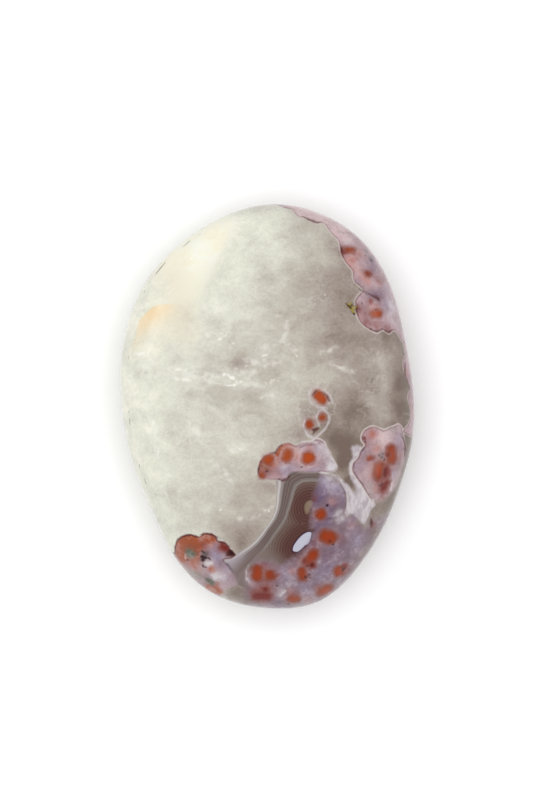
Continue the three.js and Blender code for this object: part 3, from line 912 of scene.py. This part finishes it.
class Nodes:
    """One material's node tree, with a short method for each kind of node that the stone uses."""

    def __init__(self, material):
        self.tree = material.node_tree
        self.tree.nodes.clear()

    def new(self, kind, **settings):
        node = self.tree.nodes.new(kind)
        for name, value in settings.items():
            setattr(node, name, value)
        return node

    def put(self, socket, value):
        """Links a node's output to the socket, or sets the socket to a plain value."""
        if isinstance(value, bpy.types.NodeSocket):
            self.tree.links.new(value, socket)
        else:
            socket.default_value = value

    def field(self, name):
        """A value that the mesh keeps at each of its points."""
        return self.new("ShaderNodeAttribute", attribute_name=name).outputs["Fac"]

    def math(self, operation, first, second=0.0):
        node = self.new("ShaderNodeMath", operation=operation)
        self.put(node.inputs[0], first)
        self.put(node.inputs[1], second)
        return node.outputs[0]

    def add(self, *values):
        total = values[0]
        for value in values[1:]:
            total = self.math("ADD", total, value)
        return total

    def times(self, *values):
        product = values[0]
        for value in values[1:]:
            product = self.math("MULTIPLY", product, value)
        return product

    def away(self, value, place):
        """How far the value is from one place, either way."""
        return self.math("ABSOLUTE", self.math("SUBTRACT", value, place))

    def spread(self, value, low, high, to_low=0.0, to_high=1.0, interpolation="SMOOTHSTEP"):
        """Maps low to high onto to_low to to_high along a soft curve and holds the ends."""
        node = self.new("ShaderNodeMapRange", interpolation_type=interpolation)
        self.put(node.inputs["Value"], value)
        self.put(node.inputs["From Min"], low)
        self.put(node.inputs["From Max"], high)
        self.put(node.inputs["To Min"], to_low)
        self.put(node.inputs["To Max"], to_high)
        return node.outputs[0]

    def even(self, value, low, high, to_low, to_high):
        """The same along a straight line."""
        return self.spread(value, low, high, to_low, to_high, "LINEAR")

    def vary(self, noise, to_low, to_high, reach=0.2):
        """Maps the middle of a noise, as far as the reach on either side, along a straight line."""
        return self.even(noise, 0.5 - reach, 0.5 + reach, to_low, to_high)

    def line(self, value, place, half_width):
        """1 where the value is at one place, down to 0 at a half width away from it."""
        return self.spread(self.away(value, place), half_width, half_width * 0.25)

    def mix(self, share, first, second):
        """The first colour, turned into the second by a share from 0 to 1."""
        node = self.new("ShaderNodeMix", data_type="RGBA")
        self.put(node.inputs[0], share)
        self.put(node.inputs[6], first)
        self.put(node.inputs[7], second)
        return node.outputs[2]

    def ramp(self, value, stops):
        node = self.new("ShaderNodeValToRGB")
        band = node.color_ramp
        while len(band.elements) < len(stops):
            band.elements.new(0.5)
        for element, (place, color) in zip(band.elements, stops):
            element.position = place
            element.color = color
        self.put(node.inputs[0], value)
        return node.outputs[0]

    def shades(self, value, stops):
        """A ramp of screen colours, each stop a place, red, green and blue."""
        return self.ramp(value, [(place, seen(*shade)) for place, *shade in stops])

    def noise(self, where, size, detail=2.0, roughness=0.5, distortion=0.0):
        """Noise from 0 to 1 with features about one size across, in metres."""
        node = self.new("ShaderNodeTexNoise")
        self.put(node.inputs["Vector"], where)
        self.put(node.inputs["Scale"], 1 / size)
        self.put(node.inputs["Detail"], detail)
        self.put(node.inputs["Roughness"], roughness)
        self.put(node.inputs["Distortion"], distortion)
        return node.outputs["Fac"]

    def stretched(self, where, scale, turn=(0, 0, 0)):
        node = self.new("ShaderNodeMapping")
        self.put(node.inputs["Vector"], where)
        self.put(node.inputs["Scale"], scale)
        self.put(node.inputs["Rotation"], turn)
        return node.outputs[0]


# The stone's colours. Each function is given n, the material's Nodes, and where, the place on the stone.

def quartz_color(n, where):
    """Milky to smoky quartz with painted light and shade in its smokiness, its cream zone and stain, hair
    cracks, veils, flakes and dashes.
    """
    cloud = n.noise(where, 0.010, detail=3, distortion=0.2)
    slant = n.stretched(where, (1.0, 1.35, 1.0), (0, 0, 0.6))
    feather = n.noise(slant, 0.0045, detail=8, roughness=0.7, distortion=0.35)
    color = smoke_and_light_color(n, where, cloud, feather)
    color = cream_over(n, cloud, feather, color)
    color = cracks_over(n, where, slant, color)
    return flakes_over(n, where, color)


def smoke_and_light_color(n, where, cloud, feather):
    """From milky white through greyish tones to brown, by smokiness and by painted light and shade, with
    soft clouds, feathers and a sugary grain.
    """
    grain = n.noise(where, 0.0005, roughness=0.8)
    texture = n.add(
        n.vary(cloud, -0.05, 0.05),
        n.vary(feather, -0.17, 0.17, reach=0.25),
        n.vary(grain, -0.06, 0.06, reach=0.25),
    )
    smoke_and_light = n.field("smoke_and_light")
    return n.shades(n.add(smoke_and_light, n.times(texture, n.even(smoke_and_light, 0.2, 0.9, 1.6, 0.45))), [
        (0.0, 250, 247, 230), (0.2, 233, 233, 217), (0.36, 221, 220, 206), (0.5, 207, 203, 191),
        (0.65, 191, 183, 172), (0.8, 168, 156, 147), (0.92, 138, 123, 113), (1.0, 122, 106, 97),
    ])


def cream_over(n, cloud, feather, color):
    """The cream-coloured zone with its frayed end, and the stain below its own edge."""
    edge = n.add(n.field("cream"), n.vary(feather, -1.1, 1.1))
    cream = n.times(n.spread(edge, -1.3, 1.5), n.field("creaminess"), n.vary(cloud, 0.8, 1.1))
    glowing = n.shades(feather, [(0.3, 247, 241, 215), (0.48, 254, 250, 228), (0.65, 255, 255, 242)])
    color = n.mix(cream, color, n.mix(n.field("beige"), glowing, seen(241, 229, 205)))
    below = n.spread(n.field("stain"), 0.02, -0.25)
    stain = n.times(below, n.field("staining"), n.vary(feather, 0.6, 0.9))
    return n.mix(stain, color, seen(250, 219, 168))


def cracks_over(n, where, slant, color):
    """Pale hair cracks that come and go."""
    crack = n.away(n.noise(slant, 0.008, detail=6, roughness=0.62), 0.5)
    cracked = n.spread(n.noise(where, 0.009), 0.45, 0.7)
    return n.mix(n.times(n.spread(crack, 0.03, 0.0), cracked, 0.2), color, seen(243, 240, 230))


def flakes_over(n, where, color):
    """Broken veils, bright flakes and thin dark dashes."""
    broken = n.spread(n.noise(where, 0.0011, detail=4), 0.38, 0.62)
    veil = n.times(n.spread(n.field("veil"), -0.7, 0.25), broken, 0.55)
    color = n.mix(veil, color, seen(246, 243, 234))
    flake = n.add(n.field("flake"), n.even(broken, 0, 1, -0.12, 0.1))
    color = n.mix(n.times(n.spread(flake, -0.2, 0.12), 0.8), color, seen(253, 251, 243))
    dash = n.times(n.spread(n.field("dash"), -0.12, 0.1), 0.75)
    return n.mix(dash, color, seen(118, 102, 78))


def agate_color(n, where):
    """Rosy agate in the patches and darker lilac in the mass, under soft clouds of each tint."""
    mottle = n.noise(where, 0.0016, detail=5, roughness=0.7, distortion=0.6)
    blotch = n.noise(n.stretched(where, (1, 1, 1), (0.7, 0.3, 0.2)), 0.0026, detail=4, roughness=0.66)
    textures = [n.vary(mottle, 0.35, 1.65), n.vary(blotch, 0.35, 1.65)]
    patch = n.field("patch")
    color = n.mix(n.spread(patch, -0.1, 0.2), seen(139, 118, 129), seen(178, 151, 157))
    for index, tint in enumerate(TINTS):
        color = n.mix(n.times(n.field(tint.name), textures[index % 2]), color, seen(*tint.color))
    rings = n.math("SINE", n.times(patch, 2 * math.pi / (RING_SPACING * PIXEL)))
    rings = n.times(rings, n.even(patch, 1.6, 0.3, 0, 0.08), n.spread(patch, 0.0, 0.2))
    grain = n.noise(where, 0.0006, roughness=0.8)
    paleness = n.add(
        rings,
        n.vary(blotch, -0.44, 0.44, reach=0.25),
        n.vary(grain, -0.13, 0.13, reach=0.25),
    )
    color = n.mix(n.even(paleness, 0, 1, 0, 0.8), color, seen(224, 212, 216))
    return n.mix(n.even(paleness, 0, -1, 0, 0.8), color, seen(74, 52, 56))


def band_color(n, where):
    """Fine lines parallel to the wall as far as the inner pale line, then round the two hearts."""
    band = n.field("band")
    uneven = n.spread(n.noise(where, 0.0012, detail=1), 0.3, 0.7, -0.6, 0.6)
    color = n.mix(n.spread(band, 1.05, 1.45), outer_bands(n, band, uneven), inner_bands(n, uneven))
    faded = n.mix(n.spread(band, 0.1, 0.9), seen(172, 163, 170), seen(132, 115, 111))
    color = n.mix(n.field("band_fade"), color, faded)
    return hearts_over(n, color)


def outer_bands(n, band, uneven):
    """Broad pale and dark bands from the wall at 0 to the inner pale line at 1, under fine lines."""
    color = n.shades(band, [
        (0.0, 166, 158, 154), (0.07, 202, 197, 194), (0.16, 192, 186, 184), (0.24, 162, 154, 151),
        (0.34, 140, 128, 124), (0.42, 114, 100, 96), (0.49, 108, 94, 90), (0.55, 124, 110, 105),
        (0.62, 104, 88, 85), (0.7, 122, 107, 102), (0.76, 114, 99, 95), (0.83, 108, 94, 90),
        (0.92, 128, 117, 112), (1.0, 140, 130, 125),
    ])
    fine = n.math("SINE", n.add(n.times(band, 2 * math.pi * OUTER_LINES), uneven))
    return n.mix(n.spread(fine, 0.0, 1.0, 0, 0.22), color, seen(92, 78, 74))


def inner_bands(n, uneven):
    """Even brown lines round the hearts that turn greyer outwards."""
    heart = n.field("heart")
    turns = n.times(heart, 2 * math.pi / (LINE_SPACING * PIXEL))
    stripe = n.spread(n.math("SINE", n.add(turns, uneven)), -0.8, 0.8)
    outwards = n.even(heart, 0, BAND_REACH * PIXEL, 0, 1)
    dark = n.shades(outwards, [
        (0.0, 86, 57, 54), (0.3, 88, 60, 56), (0.5, 100, 77, 71), (0.75, 114, 98, 92), (1.0, 124, 111, 105),
    ])
    light = n.shades(outwards, [
        (0.0, 97, 68, 63), (0.3, 101, 72, 66), (0.5, 111, 88, 81), (0.75, 122, 107, 101),
        (1.0, 130, 118, 112),
    ])
    return n.mix(stripe, dark, light)


def hearts_over(n, color):
    """The white heart with its dark edge, and the tan heart."""
    white = n.field("white_heart")
    color = n.mix(n.line(white, -0.06, 0.3), color, seen(76, 54, 66))
    color = n.mix(n.spread(white, -0.04, 0.08), color, seen(196, 195, 210))
    return n.mix(n.spread(n.field("tan_heart"), -0.3, 0.2), color, seen(136, 116, 96))


def eyes_over(n, where, color):
    """Orange eyes and deep red ones in a soft glow, and a pale ring round the bright orange ones."""
    uneven = n.vary(n.noise(where, 0.0009, detail=4, roughness=0.65), -0.18, 0.18)
    orange = n.add(n.field("orange_eye"), uneven)
    red = n.add(n.field("red_eye"), uneven)
    light = n.field("eye_light")
    glow = n.mix(light, seen(134, 84, 80), seen(176, 118, 106))
    fringe = n.mix(light, seen(132, 64, 44), seen(162, 82, 50))
    core = n.mix(light, seen(142, 54, 6), seen(180, 76, 12))
    pale_ring = n.times(n.line(orange, -0.62, 0.36), light, 0.6)
    color = n.mix(pale_ring, color, seen(206, 176, 176))
    color = n.mix(n.spread(orange, -0.85, 0.0, 0, 0.65), color, glow)
    color = n.mix(n.spread(orange, -0.45, 0.35), color, fringe)
    color = n.mix(n.spread(orange, 0.0, 0.8), color, core)
    color = n.mix(n.spread(red, -0.8, 0.0, 0, 0.6), color, seen(134, 78, 72))
    return n.mix(n.spread(red, -0.35, 0.6), color, seen(118, 40, 30))


def lines_over(n, where, color):
    """The patches' dark and pale edge lines, the strokes drawn in the agate, and the moss."""
    patch = n.field("patch")
    fine = n.noise(where, 0.0008, detail=3, roughness=0.7)
    ragged = n.vary(fine, -0.14, 0.14, reach=0.25)
    dark_broken = n.spread(fine, 0.35, 0.6, 0.3, 0.9)
    dark_line = n.times(n.line(patch, 0.14, 0.26), n.field("dark_line"), dark_broken)
    color = n.mix(dark_line, color, seen(112, 72, 72))
    pale_broken = n.spread(fine, 0.3, 0.55, 0.5, 0.95)
    pale_line = n.times(n.line(patch, -0.1, 0.23), n.field("pale_line"), pale_broken)
    color = n.mix(pale_line, color, seen(214, 200, 196))
    for name, softness, strength, shade in (
        ("white", 0.22, 0.75, seen(214, 206, 207)),
        ("violet_line", 0.2, 0.6, seen(84, 62, 76)),
        ("rust", 0.24, 0.85, seen(84, 38, 34)),
        ("speck", 0.16, 0.9, seen(56, 32, 36)),
    ):
        depth = n.add(n.field(name), n.times(ragged, 0.7))
        color = n.mix(n.times(n.spread(depth, -softness, softness * 0.7), strength), color, shade)
    moss = n.shades(n.noise(where, 0.0007, detail=1), [(0.42, 66, 44, 22), (0.56, 160, 142, 52)])
    return n.mix(n.times(n.spread(n.add(n.field("moss"), ragged), -0.2, 0.15), 0.9), color, moss)


def milky_color(n, where):
    """Satin white agate in soft folds."""
    folds = n.noise(n.stretched(where, (1.6, 0.7, 1.0), (0, 0, 0.5)), 0.0016, detail=3, distortion=0.8)
    return n.mix(n.spread(folds, 0.38, 0.6), seen(180, 169, 175), seen(208, 200, 203))


def stone_color(n, where):
    """The quartz, with the bands, the lilac mass, the milky areas, the patches and the eyes over it."""
    agate = agate_color(n, where)
    ragged = n.vary(n.noise(where, 0.0008, detail=3, roughness=0.6), -0.25, 0.25, reach=0.25)
    color = quartz_color(n, where)
    color = n.mix(n.spread(n.field("band_area"), -0.1, 0.1), color, band_color(n, where))
    in_mass = n.spread(n.add(n.field("lilac_mass"), n.times(ragged, 1.6)), -0.9, 1.1)
    color = n.mix(in_mass, color, agate)
    in_milk = n.spread(n.add(n.field("milky"), n.times(ragged, 0.6)), -0.3, 0.3)
    color = n.mix(in_milk, color, milky_color(n, where))
    soft_edge = n.field("soft_edge")
    edge_start = n.even(soft_edge, 0, 1, -0.02, -0.5)
    edge_end = n.even(soft_edge, 0, 1, 0.14, 1.1)
    color = n.mix(n.spread(n.field("patch"), edge_start, edge_end), color, agate)
    return lines_over(n, where, eyes_over(n, where, color))


def make_agate():
    """Polished stone with a slightly uneven gloss and rare fine pits."""
    material = bpy.data.materials.new("agate")
    material.use_nodes = True
    n = Nodes(material)
    where = n.new("ShaderNodeTexCoord").outputs["Object"]
    shader = n.new("ShaderNodeBsdfPrincipled")
    n.put(shader.inputs["Base Color"], stone_color(n, where))
    polish = n.noise(where, 0.004, detail=3)
    pitted = n.spread(n.noise(where, 0.0009), 0.68, 0.74, 0, 0.2)
    n.put(shader.inputs["Roughness"], n.add(n.vary(polish, 0.12, 0.19), pitted))
    shader.inputs["IOR"].default_value = 1.54
    shader.inputs["Specular IOR Level"].default_value = 0.36
    output = n.new("ShaderNodeOutputMaterial")
    n.put(output.inputs["Surface"], shader.outputs[0])
    return material


# The studio

def make_camera():
    """Looks straight down on the stone, framed as the photograph is."""
    data = bpy.data.cameras.new("camera")
    data.sensor_width = SENSOR_SIZE
    seen_height = FRAME_HEIGHT * PIXEL * MM
    data.lens = SENSOR_SIZE * CAMERA_HEIGHT / seen_height
    data.clip_start = 0.01
    data.clip_end = 20
    camera = add_object("camera", data)
    camera.location = (
        (FRAME_WIDTH / 2 - MIDDLE_X) * PIXEL * MM,
        (MIDDLE_Y - FRAME_HEIGHT / 2) * PIXEL * MM,
        RIM_HEIGHT * MM + CAMERA_HEIGHT,
    )
    bpy.context.scene.camera = camera


def make_floor():
    """A plain pale floor that ends far outside the picture."""
    reach = 3.0
    corners = [(-reach, -reach, 0), (reach, -reach, 0), (reach, reach, 0), (-reach, reach, 0)]
    mesh = bpy.data.meshes.new("floor")
    mesh.from_pydata(corners, [], [(0, 1, 2, 3)])
    material = bpy.data.materials.new("pale_floor")
    material.use_nodes = True
    shader = material.node_tree.nodes["Principled BSDF"]
    shader.inputs["Base Color"].default_value = (0.95, 0.95, 0.95, 1)
    shader.inputs["Roughness"].default_value = 0.9
    mesh.materials.append(material)
    floor = add_object("floor", mesh)


def make_soft_box(name, direction, elevation, distance, size, power):
    """A soft area light aimed at the stone from a direction and an elevation, in degrees."""
    data = bpy.data.lights.new(name, "AREA")
    data.shape = "RECTANGLE"
    data.size, data.size_y = size
    data.energy = power
    light = add_object(name, data)
    turn = math.radians(direction)
    lift = math.radians(elevation)
    level = math.cos(lift)
    place = Vector((math.cos(turn) * level, math.sin(turn) * level, math.sin(lift))) * distance
    light.location = place
    light.rotation_mode = "QUATERNION"
    light.rotation_quaternion = (-place).to_track_quat("-Z", "Y")
    return light


def make_studio():
    """The floor, two low soft boxes, and an overhead one that doesn't show in the polish."""
    make_floor()
    make_soft_box("key_left", 172, 24, 1.0, (0.9, 0.26), 1.0)
    make_soft_box("fill_right", 2, 28, 1.0, (0.9, 0.2), 0.9)
    overhead = make_soft_box("overhead", 90, 88, 1.3, (1.4, 1.4), 17)
    overhead.visible_glossy = False
    make_world()
    bpy.context.scene.view_settings.view_transform = "Standard"


def make_world():
    """Pale light all round that is bright near the horizon and dimmer overhead."""
    world = bpy.data.worlds.new("studio")
    world.use_nodes = True
    n = Nodes(world)
    separate = n.new("ShaderNodeSeparateXYZ")
    n.put(separate.inputs[0], n.new("ShaderNodeTexCoord").outputs["Generated"])
    light = n.ramp(separate.outputs["Z"], [
        (0.0, (1, 1, 1, 1)),
        (0.08, (1, 1, 1, 1)),
        (0.2, (0.62, 0.62, 0.62, 1)),
        (0.5, (0.6, 0.6, 0.6, 1)),
        (0.75, (0.26, 0.26, 0.265, 1)),
        (1.0, (0.2, 0.2, 0.205, 1)),
    ])
    background = n.new("ShaderNodeBackground")
    n.put(background.inputs["Color"], light)
    output = n.new("ShaderNodeOutputWorld")
    n.put(output.inputs["Surface"], background.outputs[0])
    bpy.context.scene.world = world


make_camera()
make_studio()
surface, surface_places = make_surface()
stone = make_stone(surface)
add_patch_fields(stone.data, surface, surface_places)
add_band_fields(stone.data, surface, surface_places)
add_quartz_fields(stone.data, surface, surface_places)
add_stroke_fields(stone.data, surface, surface_places)
stone.data.materials.append(make_agate())
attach(stone, "root")
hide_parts("palm_stone")
